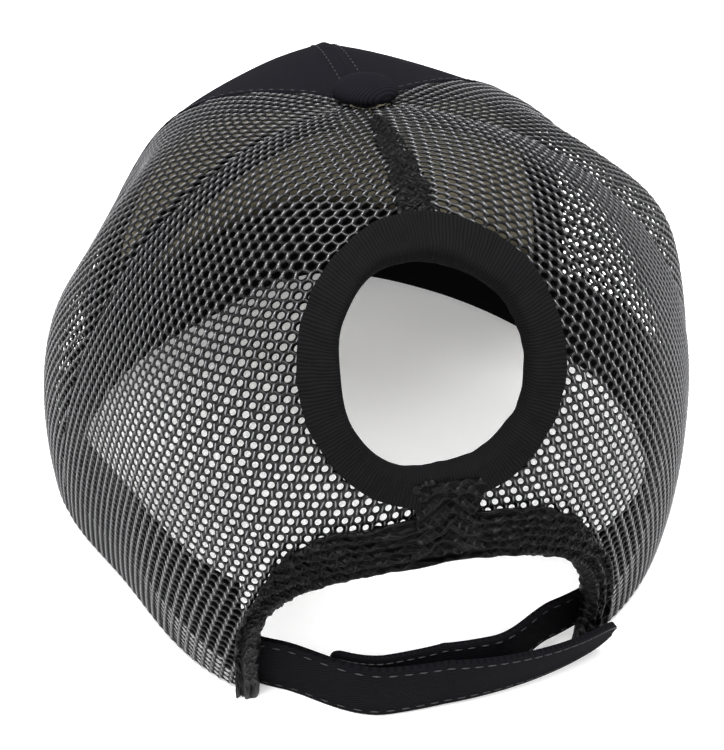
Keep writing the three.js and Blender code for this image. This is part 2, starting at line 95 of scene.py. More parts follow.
# Folds of cloth over an edge of the net: the gap from the net's middle, the share of the cloth in
# each leg, and how far each fold stands over the edge
FOLD_GAP = 1.5
FOLD_LEG = 0.42
INNER_LEG_SHARE = 0.75
FOLD_WALL = 0.8
HOLE_ROUND_OVER = 0.6
ARCH_ROUND_OVER = 0.9

# The arch's band of folded net, with cords along it. Foot widths are the right one's and the left
# one's.
ARCH_BAND_LENGTH = 150
ARCH_BAND_WIDTH = 22
ARCH_CORD_PITCH = 2.1
ARCH_CORD_HEIGHT = 0.5
ARCH_CRUMPLE = 0.6
ARCH_WIDTH = 79
ARCH_HEIGHT = 41
ARCH_LEFT = 3
ARCH_SQUARENESS = 0.55
ARCH_BINDING_WIDTH = 11
ARCH_FOOT_BINDING_WIDTHS = (5.5, 2.5)
TAB_WIDTH = 13.5
TAB_LENGTH = 14
TAB_DEPTH = -3.1
CHEVRON_PITCH = 2.6
CHEVRON_HEIGHT = 0.45
BACK_STRIP_WIDTH = 9
BACK_STRIP_LENGTH = 40

# Cloth
NET_DEPTH = 0.8
FRONT_WALL = 2.6
FRONT_CLOTH = (105, 150)
TAPE_WIDTH = 11
TAPE_TOP_RADIUS = 13
TAPE_DEPTH = {SIDE: 2.3, FRONT: 3.3}
TAPE_WALL = 1
TAPE_LENGTH = 150
SWEATBAND_HEIGHT = 31
SWEATBAND_DEPTH = 5.3
SWEATBAND_WALL = 1.5
SWEATBAND_LENGTH = 500
SWEATBAND_CLEAR = 3
STRAP_HEIGHT = 17
STRAP_WALL = 1.2
STRAP_TIP_HEIGHT = 12.5
STRAP_TIP_LIFT = 2
STRAP_TIP_RADIUS = 5.5
STRAP_LEAN = 3
STRAP_OVERLAP = 4
STRAP_INSIDE = 3.7
STRAP_OUTSIDE = -3.3
INNER_STRAP_LIFT = 3
INNER_TIP_RADIUS = 3
INNER_STRAP_END = 17
SEWN_IN = 6
CLOTH_GAP = 0.7

# Peak
PEAK_WIDTH = 176
PEAK_LENGTH = 70
PEAK_ARCH = 9
PEAK_WALL = 2.6
PEAK_ROOT_AZIMUTH = 58
PEAK_END_SHARE = 0.12
PEAK_END_ROUNDING = 0.2
PEAK_CLOTH = (220, 80)
PEAK_ROOT_SHARE = 0.64
PEAK_ROUNDNESS = 0.8
PEAK_ROWS = 7
PEAK_FIRST_ROW = 0.96
PEAK_ROW_STEP = 0.1
UPWARDS = np.array([0.0, 0.0, 1.0])

# Button
BUTTON_DIAMETER = 16
BUTTON_HEIGHT = 5

# Net: columns of holes, each half a step out of step with the next. Sewn into a panel, the rows
# run level and the columns lean towards the centre back, more so higher up.
NET_COLUMN = 2.57
NET_STEP = 1.97
NET_LEVEL_PITCH = 2.8
NET_ROW = 2.0
NET_LEAN = 0.3
NET_LEAN_GAIN = 0.016
NET_HOLE_WIDTH = 1.42
NET_HOLE_HEIGHT = 1.3
STRAND_CREST = 0.36
LINK_CREST = 0.15
LOOP_LENGTH = 2.1
LOOP_WIDTH = 0.44
LOOP_TURN = 30

# Stitches
STITCH_PITCH = 2.9
STITCH_LENGTH = 2.3
STITCH_WIDTH = 0.42
STITCH_INSET = 2.4
STITCH_LIFT = 0.35
FRONT_ROW_STITCHES = 50
CENTRE_ROW_ASIDE = 3
SIDE_ROW_ASIDE = 2.5
PEAK_ROW_STITCHES = 86
FEWER_EACH_ROW = 5

# Where the soft wall is pushed: azimuth, share of the way up, millimetres out, and how far the
# push spreads in degrees and in shares
PUSHES = [
    (104, 0.52, -6.5, 15, 0.14), (263, 0.64, -4, 9, 0.09), (277, 0.48, 2, 9, 0.1),
    (40, 0.62, -1.5, 14, 0.1), (330, 0.66, -1.5, 12, 0.09),
]


# The crown's surface

def station_value(azimuth, column):
    place = np.asarray(azimuth, float) % 360 / 30
    row = np.floor(place).astype(int)
    t = place - row
    a, b, c, d = [STATIONS[(row + k) % len(STATIONS), column] for k in (-1, 0, 1, 2)]
    return b + 0.5 * t * (c - a + t * (2 * a - 5 * b + 4 * c - d + t * (3 * b - a - 3 * c + d)))


def powers_at(azimuth):
    lean = np.cos(np.radians(azimuth))
    weight = lean * lean
    return [
        side * (1 - weight) + np.where(lean > 0, back, front) * weight
        for side, back, front in zip(PROFILES["side"], PROFILES["back"], PROFILES["front"])
    ]


def rim_height(azimuth):
    return FRONT_RIM_RISE * np.clip(-np.cos(np.radians(azimuth)), 0, 1) ** 2


def shell_point(azimuth, turn):
    angle = np.radians(azimuth)
    inward, rise = powers_at(azimuth)
    lift = np.radians(turn * 90)
    inwards = np.cos(lift) ** inward
    upwards = np.sin(lift) ** rise
    middle = np.sin(2 * lift)
    reach = station_value(azimuth, 0) * (1 + middle * station_value(azimuth, 1))
    depth = np.where(np.cos(angle) > 0, CROWN_BACK_REACH, CROWN_FRONT_REACH)
    rim = rim_height(azimuth)
    stand = FRONT_STAND * np.clip(-np.cos(angle), 0, 1) ** 2 * middle ** 2
    return np.stack([
        CROWN_WIDTH / 2 * reach * np.sin(angle) * inwards + APEX_LEFT * upwards,
        depth * reach * np.cos(angle) * inwards + APEX_BACK * upwards,
        rim + (CROWN_HEIGHT - rim) * upwards + stand,
    ], -1)


def smooth_step(value, low, high):
    t = np.clip((value - low) / (high - low), 0, 1)
    return t * t * (3 - 2 * t)


def mix(low, high, share):
    return low + (high - low) * share


def unit(vectors):
    return vectors / np.linalg.norm(vectors, axis=-1, keepdims=True)


def shell_normal(azimuth, turn):
    here = np.clip(turn, 0.004, 0.985)
    across = shell_point(azimuth + 0.05, here) - shell_point(azimuth - 0.05, here)
    upwards = shell_point(azimuth, here + 0.001) - shell_point(azimuth, here - 0.001)
    normal = unit(np.cross(upwards, across))
    level = np.clip(turn / 0.02, 0, 1)
    normal[..., 2] *= level * level * (3 - 2 * level)
    return unit(normal)


def measure_ways():
    """Turns at even shares of the way up from the rim to the top ring, for each degree."""
    azimuths = np.arange(-180, 182)
    inward, _ = powers_at(azimuths)
    last = np.arccos((TOP_RING_RADIUS / (CROWN_WIDTH / 2)) ** (1 / inward)) / (math.pi / 2)
    turns = last[:, None] * (1 - (1 - np.linspace(0, 1, 81)) ** 3)
    points = shell_point(azimuths[:, None], turns)
    steps = np.linalg.norm(np.diff(points, axis=1), axis=-1)
    lengths = np.concatenate([np.zeros((len(azimuths), 1)), np.cumsum(steps, axis=1)], axis=1)
    shares = np.linspace(0, 1, 201)
    table = [np.interp(shares * row[-1], row, turn) for row, turn in zip(lengths, turns)]
    return np.array(table), lengths[:, -1]


WAY_TURNS, WAY_LENGTHS = measure_ways()


def turn_at(azimuth, share):
    x = (np.asarray(azimuth, float) + 180) % 360
    i = np.floor(x).astype(int)
    f = x - i
    y = np.clip(share, 0, 1) * 200
    j = np.clip(np.floor(y).astype(int), 0, 199)
    g = y - j
    low = WAY_TURNS[i, j] * (1 - g) + WAY_TURNS[i, j + 1] * g
    high = WAY_TURNS[i + 1, j] * (1 - g) + WAY_TURNS[i + 1, j + 1] * g
    return low * (1 - f) + high * f


def seam_azimuth(index, share):
    rim, top, _ = PANELS[index]
    return rim + (top - rim) * np.asarray(share, float)


def pillow(share):
    return 4 * share * (1 - share)


def fullness_at(azimuth, share):
    share = np.clip(share, 0, 1)
    away = np.abs((azimuth + 180) % 360 - 180)
    out = np.zeros(np.broadcast(azimuth, share).shape)
    for index in (BACK, SIDE, FRONT):
        first, second = seam_azimuth(index, share), seam_azimuth(index + 1, share)
        across = np.clip((away - first) / (second - first), 0, 1)
        bulge = PANEL_FULLNESS * PANELS[index][2] * pillow(across) ** 0.6 * np.sqrt(pillow(share))
        out = np.where((away >= first) & (away <= second), bulge, out)
    for centre, height, push, wide, high in PUSHES:
        aside = ((azimuth - centre + 180) % 360 - 180) / wide
        out = out + push * np.exp(-aside ** 2 - ((share - height) / high) ** 2)
    return out


def crown(azimuth, share, depth=0.0):
    """A point of the crown; depth goes into the wall."""
    azimuth, share, depth = np.broadcast_arrays(azimuth, share, depth)
    azimuth = azimuth.astype(float)
    turn = turn_at(azimuth, share)
    out = fullness_at(azimuth, share) - depth
    return shell_point(azimuth, turn) + shell_normal(azimuth, turn) * out[..., None]


def degrees_per_millimetre(azimuth, share):
    step = crown(azimuth + 1, share) - crown(azimuth - 1, share)
    return 2 / np.linalg.norm(step, axis=-1)


def share_at_height(azimuth, height):
    azimuth, height = np.broadcast_arrays(np.asarray(azimuth, float), height)
    shares = np.linspace(0, 1, 201)
    rim = rim_height(azimuth)
    upwards = np.clip((height - rim) / (CROWN_HEIGHT - rim), 0, 1)
    turn = np.arcsin(upwards ** (1 / powers_at(azimuth)[1])) / (math.pi / 2)
    rows = WAY_TURNS[np.round((azimuth + 180) % 360).astype(int)]
    flat = [np.interp(t, row, shares) for t, row in zip(turn.ravel(), rows.reshape(-1, 201))]
    return np.array(flat).reshape(azimuth.shape)


def share_at_radius(azimuth, radius):
    turn = math.acos((radius / (CROWN_WIDTH / 2)) ** (1 / powers_at(azimuth)[0])) / (math.pi / 2)
    row = WAY_TURNS[int(round((azimuth + 180) % 360))]
    return float(np.interp(turn, row, np.linspace(0, 1, 201)))


# The openings of the back, each an outline in a plane seen along its own axis

HOLE_CENTRE = crown(HOLE_AZIMUTH, HOLE_CENTRE_SHARE)
HOLE_AXIS = shell_normal(np.array(HOLE_AZIMUTH), turn_at(HOLE_AZIMUTH, HOLE_CENTRE_SHARE))
HOLE_RIGHT = unit(np.cross([0, 0, 1], HOLE_AXIS))
HOLE_UP = np.cross(HOLE_AXIS, HOLE_RIGHT)
HOLE = {"centre": HOLE_CENTRE, "right": HOLE_RIGHT, "up": HOLE_UP,
        "start": (HOLE_AZIMUTH, HOLE_CENTRE_SHARE)}
ARCH = {"centre": np.array([ARCH_LEFT, 0, 0]), "right": np.array([-1, 0, 0]), "up": np.array([0, 0, 1]),
        "start": (0, 0.2)}


def hole_outline(way, outset):
    angle = way * 2 * math.pi
    return (HOLE_WIDTH / 2 + outset) * np.cos(angle), (HOLE_HEIGHT / 2 + outset) * np.sin(angle)


def arch_outline(way, outset):
    angle = way * math.pi
    side = np.sign(np.cos(angle)) * np.abs(np.cos(angle)) ** ARCH_SQUARENESS
    rise = np.clip(np.sin(angle), 0, 1) ** ARCH_SQUARENESS
    return (ARCH_WIDTH / 2 + outset) * side, (ARCH_HEIGHT + outset) * rise


def behind(opening, x, y):
    """The azimuth and share where the crown shows at a place in an opening's plane."""
    azimuth = np.full(np.shape(x), opening["start"][0], float)
    share = np.full(np.shape(x), opening["start"][1], float)

    def miss(azimuth, share):
        offset = crown(azimuth, share) - opening["centre"]
        return offset @ opening["right"] - x, offset @ opening["up"] - y

    for _ in range(16):
        mx, my = miss(azimuth, share)
        ax, ay = [(value - was) / 0.2 for value, was in zip(miss(azimuth + 0.2, share), (mx, my))]
        nudge = np.where(share > 0.5, -0.004, 0.004)
        sx, sy = [(value - was) / nudge for value, was in zip(miss(azimuth, share + nudge), (mx, my))]
        scale = ax * sy - ay * sx
        azimuth = azimuth - np.clip((mx * sy - my * sx) / scale, -8, 8)
        share = np.clip(share - np.clip((ax * my - ay * mx) / scale, -0.1, 0.1), 0, 0.99)
    return azimuth, share


def round_opening(opening, outline, outset_low, outset_high):
    """Azimuth and share by way and outset, looked up in a table that is worked out once."""
    ways = np.linspace(0, 1, 241)
    outsets = np.linspace(outset_low, outset_high, 25)
    x, y = outline(ways[:, None], outsets[None, :])
    azimuths, shares = behind(opening, x, y)

    def look_up(way, outset):
        p = np.clip(way, 0, 1) * 240
        q = np.clip((outset - outset_low) / (outset_high - outset_low), 0, 1) * 24
        i = np.clip(np.floor(p).astype(int), 0, 239)
        j = np.clip(np.floor(q).astype(int), 0, 23)
        f, g = p - i, q - j
        return [
            (t[i, j] * (1 - g) + t[i, j + 1] * g) * (1 - f)
            + (t[i + 1, j] * (1 - g) + t[i + 1, j + 1] * g) * f
            for t in (azimuths, shares)
        ]

    return look_up


round_hole = round_opening(HOLE, hole_outline, -3, HOLE_BINDING_WIDTH + 6)
round_arch = round_opening(ARCH, arch_outline, -3, ARCH_BINDING_WIDTH + 6)
ARCH_FOOT = float(round_arch(np.array(1.0), np.array(0.0))[0])
ARCH_FOOT_RIGHT = -float(round_arch(np.array(0.0), np.array(0.0))[0])


def hole_outset(points):
    """How far outside the hole's outline points lie, in its plane."""
    offset = points - HOLE_CENTRE
    x, y = offset @ HOLE_RIGHT, offset @ HOLE_UP
    reach = np.hypot(x, y)
    share = np.hypot(x / (HOLE_WIDTH / 2), y / (HOLE_HEIGHT / 2))
    return reach * (1 - 1 / np.maximum(share, 1e-6))


def arch_outset(points):
    power = 2 / ARCH_SQUARENESS
    x, z = points[..., 0] - ARCH_LEFT, np.clip(points[..., 2], 0, None)
    share = ((np.abs(x) * 2 / ARCH_WIDTH) ** power + (z / ARCH_HEIGHT) ** power) ** (1 / power)
    return np.hypot(x, z) * (1 - 1 / np.maximum(share, 1e-6))


# Placing

button_low, button_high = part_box("button")
SHIFT = np.array([
    (button_low.x + button_high.x) / 2 - APEX_LEFT * MM,
    (button_low.y + button_high.y) / 2 - APEX_BACK * MM,
    0,
])


def in_row(points):
    return np.asarray(points) * MM + SHIFT


# Making cloth

def finish_piece(name, bm, materials, smooth=True):
    mesh = bpy.data.meshes.new(name)
    bm.to_mesh(mesh)
    bm.free()
    for material in materials:
        mesh.materials.append(material)
    mesh.polygons.foreach_set("use_smooth", [smooth] * len(mesh.polygons))
    piece = bpy.data.objects.new(name, mesh)
    bpy.context.collection.objects.link(piece)
    return piece


def cloth(name, size, steps, place, materials, wall, edge, closed=False, outwards=None):
    """A sheet of cloth. size is its width and length in millimetres, for the weave; place takes
    shares across and along and gives its outer face; wall goes inwards; edge rounds the rim.
    outwards is the way the middle of the outer face looks, where it isn't out of the crown."""
    bm = bmesh.new()
    bmesh.ops.create_grid(bm, x_segments=steps[0], y_segments=steps[1], size=0.5)
    flat = np.array([vert.co[:2] for vert in bm.verts]) + 0.5
    layer = bm.loops.layers.uv.new("cloth")
    for face in bm.faces:
        for loop in face.loops:
            x, y = flat[loop.vert.index]
            loop[layer].uv = (x * size[0] * MM, y * size[1] * MM)
    points = in_row(place(flat[:, 0], flat[:, 1]))
    for vert, point in zip(bm.verts, points):
        vert.co = point
    if closed:
        bmesh.ops.remove_doubles(bm, verts=bm.verts, dist=MERGE_WITHIN * MM)
    bm.faces.ensure_lookup_table()
    bm.normal_update()
    middle = bm.faces[len(bm.faces) // 2]
    out_of_crown = middle.calc_center_median() - Vector(in_row((0, 0, CROWN_HEIGHT * 0.3)))
    if middle.normal.dot(Vector(outwards) if outwards else out_of_crown) < 0:
        bmesh.ops.reverse_faces(bm, faces=bm.faces)
    piece = finish_piece(name, bm, materials)
    shell = piece.modifiers.new("wall", "SOLIDIFY")
    shell.thickness = wall * MM
    shell.offset = -1
    shell.use_even_offset = True
    if len(materials) > 1:
        shell.material_offset = 1
    if edge:
        bevel = piece.modifiers.new("edge", "BEVEL")
        bevel.width = edge * MM
        bevel.segments = 2
        bevel.limit_method = "ANGLE"
        bevel.angle_limit = math.radians(50)
    return piece


def dress(piece, slot, *nodes):
    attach(piece, "root")
    if nodes:
        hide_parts(*nodes)
    return piece


# Net

def net_cell():
    """One hole and the half strands round it: corners by angle and ring, from the upper crest over
    the edge of the hole to the lower crest."""
    bm = bmesh.new()
    crest, edge = 2, 1
    section = [(crest, 1), (edge, 0), (crest, -1)]
    verts = [bm.verts.new((radius, 0, lift)) for radius, lift in section]
    edges = [bm.edges.new(pair) for pair in zip(verts, verts[1:])]
    bmesh.ops.spin(bm, geom=verts + edges, cent=(0, 0, 0), axis=(0, 0, 1),
                   angle=2 * math.pi, steps=12, use_merge=True)
    bm.verts.index_update()
    return bm


def cell_corners(bm):
    """The cell's corners in knitted millimetres: a hexagon outside, an oval hole inside."""
    corners = np.array([vert.co[:] for vert in bm.verts])
    step = np.round(np.degrees(np.arctan2(corners[:, 1], corners[:, 0])) / 30).astype(int) % 12
    on_crest = np.hypot(corners[:, 0], corners[:, 1]) > 1.5
    half_step = NET_STEP / 2
    reach = np.hypot(NET_COLUMN, half_step) / 2
    slant = np.array([NET_COLUMN, half_step]) / (2 * reach)
    shoulder = (reach - slant[1] * half_step) / slant[0]
    six = [(reach / slant[0], 0), (shoulder, half_step), (-shoulder, half_step),
           (-reach / slant[0], 0), (-shoulder, -half_step), (shoulder, -half_step)]
    hexagon = np.repeat(six, 2, axis=0)
    hexagon[1::2] = (hexagon[::2] + np.roll(hexagon[::2], -1, axis=0)) / 2
    angle = np.radians(step * 30)
    hole = np.stack([NET_HOLE_WIDTH / 2 * np.cos(angle), NET_HOLE_HEIGHT / 2 * np.sin(angle)], -1)
    flat = np.where(on_crest[:, None], hexagon[step], hole)
    on_link = np.isin(step, (3, 9))
    rise = np.where(on_link, LINK_CREST, STRAND_CREST) * corners[:, 2]
    return flat, rise, on_crest


def spindle(width, length):
    """A short piece of thread along +Y."""
    bm = bmesh.new()
    bmesh.ops.create_icosphere(bm, subdivisions=1, radius=0.5)
    bmesh.ops.scale(bm, vec=(width, length, width), verts=bm.verts)
    bm.verts.index_update()
    return bm


def level_out(u, v, lean, lean_gain):
    """Knitted millimetres to millimetres across and up the panel."""
    column = u / NET_COLUMN
    row = v / NET_STEP - column / 2
    across = NET_LEVEL_PITCH * column + lean * row + lean_gain * row * row / 2
    return -across, NET_ROW * row


def tiled(bm, points):
    """A bmesh of many copies of a small shape; points holds each copy's corners."""
    unit_faces = np.array([[vert.index for vert in face.verts] for face in bm.faces])
    bm.free()
    count, corners = points.shape[:2]
    faces = unit_faces[None] + np.arange(count)[:, None, None] * corners
    mesh = bpy.data.meshes.new("tiles")
    mesh.vertices.add(count * corners)
    mesh.vertices.foreach_set("co", points.reshape(-1))
    total, sides = count * len(unit_faces), unit_faces.shape[1]
    mesh.loops.add(total * sides)
    mesh.loops.foreach_set("vertex_index", faces.reshape(-1))
    mesh.polygons.add(total)
    mesh.polygons.foreach_set("loop_start", np.arange(total) * sides)
    mesh.update(calc_edges=True)
    joined = bmesh.new()
    joined.from_mesh(mesh)
    bpy.data.meshes.remove(mesh)
    return joined


def knitted(name, centres, level, place, material):
    """Net round the given hole centres, in knitted millimetres. level takes those to flat
    millimetres, and place takes flat x, y and height to points of the cap."""
    bm = net_cell()
    flat, rise, on_crest = cell_corners(bm)
    size = 1 + random.normal(0, 0.05, len(centres))
    grown = np.where(on_crest[None, :, None], flat[None], flat[None] * size[:, None, None])
    knit = centres[:, None] + grown
    x, y = level(knit[..., 0], knit[..., 1])
    corners = np.stack([x, y, np.broadcast_to(rise, x.shape)], -1)
    net = tiled(bm, corners)
    bmesh.ops.remove_doubles(net, verts=net.verts, dist=0.005)
    rim = [edge for edge in net.edges if edge.is_boundary and edge.verts[0].co.z > 0]
    wall = bmesh.ops.extrude_edge_only(net, edges=rim)["geom"]
    for vert in wall:
        if isinstance(vert, bmesh.types.BMVert):
            vert.co.z = -vert.co.z
    bmesh.ops.remove_doubles(net, verts=net.verts, dist=0.005)
    bmesh.ops.recalc_face_normals(net, faces=net.faces)

    loop = spindle(LOOP_WIDTH, LOOP_LENGTH)
    shape = np.array([vert.co[:] for vert in loop.verts])
    turn = math.radians(LOOP_TURN) + random.normal(0, 0.15, len(centres))
    cos, sin = np.cos(turn)[:, None], np.sin(turn)[:, None]
    strand = (NET_COLUMN / 2, NET_STEP / 4)
    u = centres[:, 0, None] + strand[0] + shape[:, 0] * cos - shape[:, 1] * sin
    v = centres[:, 1, None] + strand[1] + shape[:, 0] * sin + shape[:, 1] * cos
    x, y = level(u, v)
    z = np.broadcast_to(shape[:, 2] + STRAND_CREST * 0.75, x.shape)
    loops = tiled(loop, np.stack([x, y, z], -1))
    # The loops take the second material, whose pale colour is a painted glint
    for face in loops.faces:
        face.material_index = 1
    scratch = bpy.data.meshes.new("loops")
    loops.to_mesh(scratch)
    loops.free()
    net.from_mesh(scratch)
    bpy.data.meshes.remove(scratch)

    spots = np.array([vert.co[:] for vert in net.verts])
    points = in_row(place(spots[:, 0], spots[:, 1], spots[:, 2]))
    for vert, point in zip(net.verts, points):
        vert.co = point
    if side_of(net) < 0:
        bmesh.ops.reverse_faces(net, faces=net.faces)
    return finish_piece(name, net, [material, loop_yarn_painted_glint])


def side_of(bm):
    """Positive where a closed mesh's faces point outwards."""
    return bm.calc_volume(signed=True)


def cell_centres(u_low, u_high, v_low, v_high):
    columns = np.arange(math.floor(u_low / NET_COLUMN), math.ceil(u_high / NET_COLUMN) + 1)
    rows = np.arange(math.floor(v_low / NET_STEP), math.ceil(v_high / NET_STEP) + 1)
    u = np.broadcast_to(columns[:, None] * NET_COLUMN, (len(columns), len(rows)))
    v = rows[None, :] * NET_STEP + (columns[:, None] % 2) * NET_STEP / 2
    return np.stack([u.ravel(), v.ravel()], -1)


def panel_net(index, side):
    shares = np.linspace(0, 1, 101)
    fan = np.linspace(0, 1, 61)
    first, second = seam_azimuth(index, shares), seam_azimuth(index + 1, shares)
    lines = crown(side * (first[:, None] + (second - first)[:, None] * fan), shares[:, None])
    half_widths = np.linalg.norm(np.diff(lines, axis=1), axis=-1).sum(axis=1) / 2
    middle_line = crown(side * (first + second) / 2, shares)
    length = np.linalg.norm(np.diff(middle_line, axis=0), axis=-1).sum()

    def spread(x, y):
        share = np.clip(y / length, 0, 1)
        half = np.interp(share, shares, half_widths)
        lean = x / half
        past = (np.abs(lean) - 1) * half
        first, second = seam_azimuth(index, share), seam_azimuth(index + 1, share)
        inset = 0.2 / half
        across = np.clip(lean, -1 + inset, 1 - inset)
        azimuth = side * ((first + second) / 2 + (second - first) / 2 * across)
        return azimuth, share, past

    def place(x, y, z):
        azimuth, share, past = spread(x, y)
        return crown(azimuth, share, NET_DEPTH + np.clip(past, 0, None) - z)

    def level(u, v):
        return level_out(u, v, NET_LEAN, NET_LEAN_GAIN)

    wide = half_widths.max() + 60
    centres = cell_centres(-wide, wide, -wide, length + wide)
    x, y = level(centres[:, 0], centres[:, 1])
    near = (np.abs(x) < half_widths.max() + 3) & (y > 0.9) & (y < length)
    centres, x, y = centres[near], x[near], y[near]
    azimuth, share, past = spread(x, y)
    keep = past < 1.0
    if index == BACK:
        at = crown(azimuth, share)
        keep &= (hole_outset(at) > 1.6) & (arch_outset(at) > 1.6)
    word = "left" if side > 0 else "right"
    panel = "back" if index == BACK else "side"
    piece = knitted(f"{panel}_net_{word}", centres[keep], level, place, net_yarn)
    return dress(piece, "net", f"{panel}_mesh_{word}")


# Materials

def srgb(code):
    """A linear colour from a hex value."""
    parts = [int(code[k:k + 2], 16) / 255 for k in (1, 3, 5)]
    return tuple(p / 12.92 if p <= 0.04045 else ((p + 0.055) / 1.055) ** 2.4 for p in parts) + (1,)


def add_node(tree, kind, settings=None, **inputs):
    """Adds a node with its settings; inputs are values, or sockets to link."""
    node = tree.nodes.new(kind)
    for name, value in (settings or {}).items():
        setattr(node, name, value)
    for name, value in inputs.items():
        socket = node.inputs[int(name[1:]) if name[0] == "_" else name.replace("_", " ")]
        if isinstance(value, bpy.types.NodeSocket):
            tree.links.new(value, socket)
        else:
            socket.default_value = value
    return node


def new_material(name):
    material = bpy.data.materials.new(name)
    material.use_nodes = True
    tree = material.node_tree
    tree.nodes.clear()
    shader = add_node(tree, "ShaderNodeBsdfPrincipled")
    add_node(tree, "ShaderNodeOutputMaterial", Surface=shader.outputs[0])
    return material, tree, shader


WAVE_PERIOD = math.pi / 10


def twill(name, dark, light, rib=0.7, lean=60, roughness=1.0, depth=0.12):
    """Cotton twill: fine slanted ribs, matt, with a little dust in the weave."""
    material, tree, shader = new_material(name)
    place = add_node(tree, "ShaderNodeUVMap", {"uv_map": "cloth"})
    turned = add_node(tree, "ShaderNodeMapping", Vector=place.outputs[0],
                      Rotation=(0, 0, math.radians(lean)))
    ribs = add_node(tree, "ShaderNodeTexWave", {"wave_type": "BANDS", "bands_direction": "X"},
                    Vector=turned.outputs[0], Scale=WAVE_PERIOD / (rib * MM), Distortion=0.6,
                    Detail=1.0)
    mottle = add_node(tree, "ShaderNodeTexNoise", Vector=place.outputs[0], Scale=1 / (9 * MM),
                      Detail=3.0)
    shade = add_node(tree, "ShaderNodeMath", {"operation": "MULTIPLY_ADD"},
                     _0=mottle.outputs[0], _1=0.6, _2=0.0)
    tree.links.new(ribs.outputs[1], shade.inputs[2])
    colour = add_node(tree, "ShaderNodeMix", {"data_type": "RGBA"}, Factor=shade.outputs[0],
                      _6=srgb(dark), _7=srgb(light))
    bump = add_node(tree, "ShaderNodeBump", Height=ribs.outputs[1], Strength=0.7,
                    Distance=depth * MM)
    tree.links.new(colour.outputs[2], shader.inputs["Base Color"])
    tree.links.new(bump.outputs[0], shader.inputs["Normal"])
    shader.inputs["Roughness"].default_value = roughness
    shader.inputs["Specular IOR Level"].default_value = 0.04
    return material


def polyester_yarn(name, colour, roughness, gloss):
    """Knitted polyester with a soft gloss that glints on the yarns: near black, or pale where the
    colour is a painted glint.
    """
    material, tree, shader = new_material(name)
    shader.inputs["Base Color"].default_value = srgb(colour)
    shader.inputs["Roughness"].default_value = roughness
    shader.inputs["Specular IOR Level"].default_value = gloss
    return material


def folded_net(name, dark, light):
    """Net folded on itself: yarns crossing at a slant, 1.6 mm apart, with painted shade in the gaps
    between them.
    """
    material, tree, shader = new_material(name)
    place = add_node(tree, "ShaderNodeUVMap", {"uv_map": "cloth"})
    crossings = []
    for lean in (35, -40):
        turned = add_node(tree, "ShaderNodeMapping", Vector=place.outputs[0],
                          Rotation=(0, 0, math.radians(lean)))
        crossings.append(add_node(
            tree, "ShaderNodeTexWave", {"wave_type": "BANDS", "bands_direction": "Y"},
            Vector=turned.outputs[0], Scale=WAVE_PERIOD / (1.6 * MM), Distortion=3.0, Detail=2.0))
    yarns = add_node(tree, "ShaderNodeMath", {"operation": "MAXIMUM"},
                     _0=crossings[0].outputs[1], _1=crossings[1].outputs[1])
    sharp = add_node(tree, "ShaderNodeMath", {"operation": "POWER"}, _0=yarns.outputs[0], _1=3.0)
    # dark is painted shade in the gaps; light is the yarns' own colour
    colour = add_node(tree, "ShaderNodeMix", {"data_type": "RGBA"}, Factor=sharp.outputs[0],
                      _6=srgb(dark), _7=srgb(light))
    bump = add_node(tree, "ShaderNodeBump", Height=sharp.outputs[0], Strength=0.9,
                    Distance=0.35 * MM)
    tree.links.new(colour.outputs[2], shader.inputs["Base Color"])
    tree.links.new(bump.outputs[0], shader.inputs["Normal"])
    shader.inputs["Roughness"].default_value = 0.45
    shader.inputs["Specular IOR Level"].default_value = 0.08
    return material


# Knitted polyester: the yarns look near black, with a soft gloss
net_yarn = polyester_yarn("black_polyester_net", "#070708", 0.4, 0.25)

# The raised loops of that yarn, pale as a painted glint. Real glints are finer and fall on the loops
# that face the light: these are paler and broader, so that they show.
loop_yarn_painted_glint = polyester_yarn("black_polyester_loops_painted_glint", "#5c5c5f", 0.25, 0.8)

# The same net folded double: the yarns' own near black, with painted shade in the gaps between crossing
# yarns
folded_yarn = folded_net("black_polyester_folded_net", "#000000", "#0c0c0d")

# Polyester thread: a little paler than the cloth, so that stitches show as short dashes
sewing_thread = polyester_yarn("black_sewing_thread", "#1e1e20", 0.5, 0.3)

# Cotton twill of the front, the peak and the button: charcoal and matt, with slanted ribs
front_twill = twill("black_cotton_twill", "#08080b", "#141318")

# The straps' twill: the same weave, darker
strap_twill = twill("black_strap_twill", "#050506", "#0e0d10")

# Binding with fine cross ribs, which run from its outer edge into the hole
binding_twill = twill("black_woven_binding", "#070707", "#111112", 0.6, 0)

# Seam tape: plain black bands behind the net
tape_twill = twill("black_cotton_tape", "#040405", "#0a0a0b")

# Sweatband cotton: matt black, with the weave just seen
sweatband_twill = twill("black_sweatband_cotton", "#050506", "#0c0c0d")

# Backing of the front panels: an olive grey that shows through the net
backing_foam = twill("grey_backing", "#8a8472", "#a19a86")


# Net panels

for side in (1, -1):
    panel_net(BACK, side)
    panel_net(SIDE, side)


# Front panels

def stitch_row(name, place, count, slot):
    """Stitches end to end along a line; place takes shares of it and gives points and the ways out."""
    half = 0.5 * STITCH_LENGTH / STITCH_PITCH / count
    middles = (np.arange(count) + 0.5) / count
    before, _ = place(middles - half)
    after, _ = place(middles + half)
    spots, out = place(middles)
    along = unit(after - before)
    aside = unit(np.cross(along, out))
    thread = spindle(STITCH_WIDTH, STITCH_LENGTH)
    shape = np.array([vert.co[:] for vert in thread.verts])
    corners = spots[:, None] + (
        shape[None, :, :1] * aside[:, None] + shape[None, :, 1:2] * along[:, None]
        + shape[None, :, 2:] * out[:, None])
    row = tiled(thread, in_row(corners))
    return dress(finish_piece(name, row, [sewing_thread]), slot)


